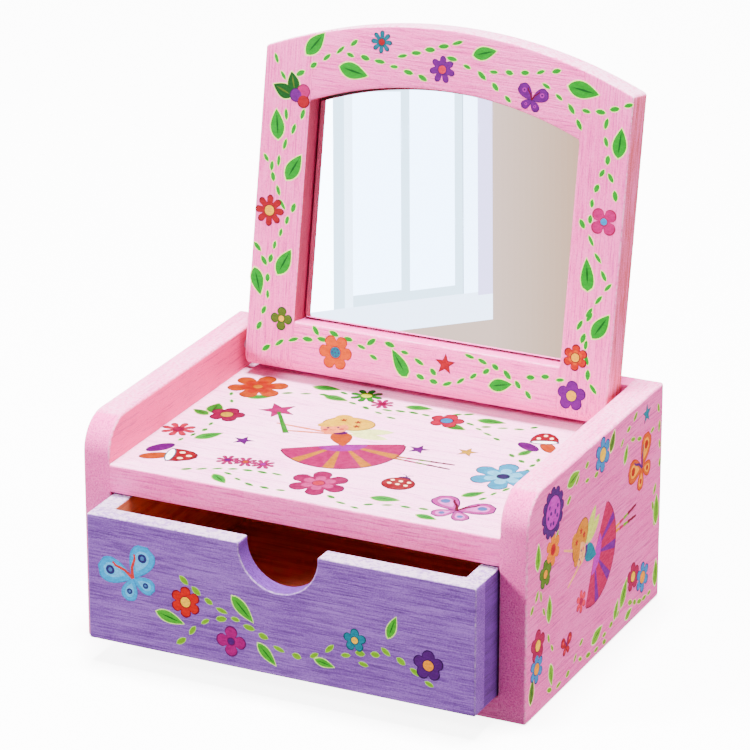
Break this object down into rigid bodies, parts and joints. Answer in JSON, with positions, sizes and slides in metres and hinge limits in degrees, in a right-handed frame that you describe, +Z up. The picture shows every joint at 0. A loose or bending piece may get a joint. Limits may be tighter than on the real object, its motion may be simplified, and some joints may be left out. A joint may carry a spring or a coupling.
{
  "type": "trinket box with mirror",
  "caption": "Painted wooden trinket box with a pull-out drawer, a rimmed deck and an arch-topped mirror that folds down onto the deck.",
  "frame": {"origin": "bottom centre of the bounding box, with the drawer partly open and the mirror leaning back", "axes": "+Z up, front of the box facing -Y, +X to its right as seen from the front"},
  "size_m": [0.15, 0.1328, 0.1786],
  "materials": {
    "pink_paint": "satin pink paint over board, fine brush texture",
    "lilac_paint": "satin lilac paint over board, fine brush texture",
    "bare_wood": "bare wood",
    "stained_wood": "dark red-brown stain",
    "backing_board": "brown hardboard",
    "steel": "plain steel",
    "mirror": "silvered glass"
  },
  "bodies": {
    "casing": {"left_side": "pink_paint", "right_side": "pink_paint", "deck": "pink_paint", "base_board": "pink_paint", "back_panel": "pink_paint", "deck_dowels": "bare_wood", "base_dowels": "bare_wood", "back_brads": "steel"},
    "drawer": {"drawer_front": "lilac_paint", "drawer_left_side": "lilac_paint", "drawer_right_side": "lilac_paint", "drawer_back": "lilac_paint", "drawer_bottom": "stained_wood", "drawer_dowels": "bare_wood", "drawer_back_brads": "steel"},
    "mirror_frame": {"frame_left_stile": "pink_paint", "frame_right_stile": "pink_paint", "frame_top_rail": "pink_paint", "frame_bottom_rail": "pink_paint", "frame_dowels": "bare_wood", "mirror_glass": "mirror", "mirror_backing": "backing_board", "backing_brads": "steel", "left_pivot_pin": "steel", "right_pivot_pin": "steel"}
  },
  "joints": [
    {"name": "drawer_slide", "type": "slide", "parent": "casing", "child": "drawer", "axis": [0, -1, 0], "range_m": [-0.0157, 0.06]},
    {"name": "mirror_hinge", "type": "hinge", "parent": "casing", "child": "mirror_frame", "pos_m": [0, 0.04151, 0.0677], "axis": [1, 0, 0], "range_deg": [0, 101.3]}
  ]
}
